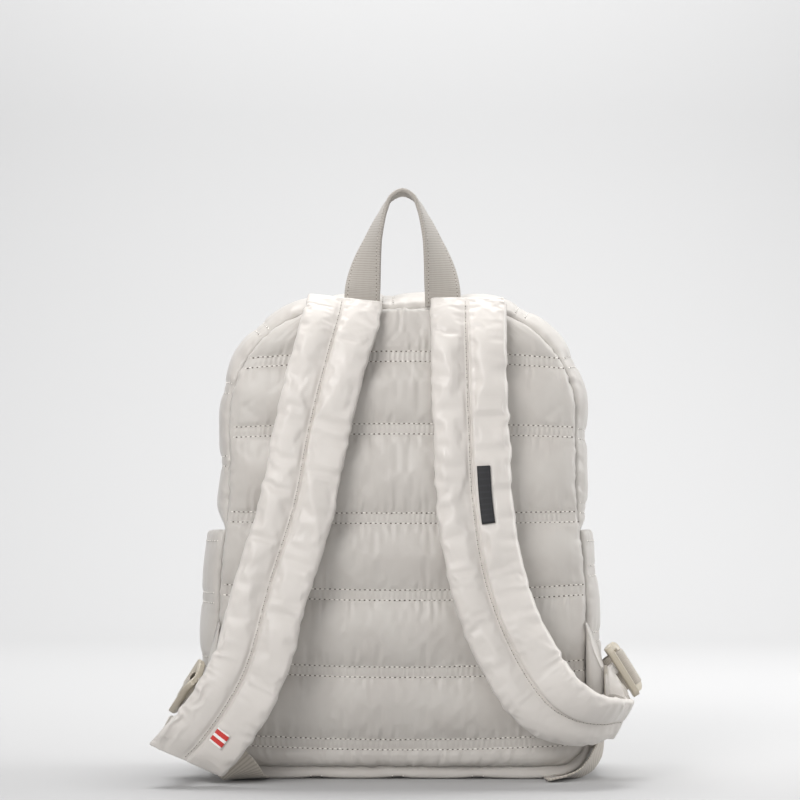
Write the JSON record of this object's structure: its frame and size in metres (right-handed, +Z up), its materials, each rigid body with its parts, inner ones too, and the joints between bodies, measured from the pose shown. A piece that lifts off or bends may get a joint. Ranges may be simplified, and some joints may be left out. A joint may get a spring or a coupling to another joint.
{
  "type": "mini backpack",
  "caption": "Small quilted puffer backpack with a rounded top, webbing carry handle, padded shoulder straps, slip side pockets and webbing adjusters, standing on its base.",
  "frame": {"origin": "the middle of the flat base that the bag stands on", "axes": "+Z up; -Y is the side worn against the back, with the shoulder straps; +X is to the right seen from that side"},
  "size_m": [0.3273, 0.1757, 0.3915],
  "materials": {
    "quilted_nylon": "satin padded nylon, warm light grey",
    "webbing": "ribbed woven webbing, taupe",
    "zip_tape": "woven zip tape with a nylon coil",
    "buckle_plastic": "moulded beige plastic, satin",
    "dark_label": "plain black woven tab",
    "red_label": "woven tab in red and white"
  },
  "bodies": {
    "root": {"back_panel": "quilted_nylon", "front_panel": "quilted_nylon", "gusset_back": "quilted_nylon", "gusset_front": "quilted_nylon", "zip": "zip_tape", "gusset_lower": "quilted_nylon", "pocket_right": "quilted_nylon", "pocket_left": "quilted_nylon", "handle": "webbing", "strap_right": "quilted_nylon", "strap_left": "quilted_nylon", "tab_right": "quilted_nylon", "tab_left": "quilted_nylon", "buckle_right": "buckle_plastic", "buckle_left": "buckle_plastic", "wing_right": "quilted_nylon", "wing_left": "quilted_nylon", "webbing_right": "webbing", "webbing_left": "webbing", "label_right": "dark_label", "label_left": "red_label"}
  },
  "joints": []
}
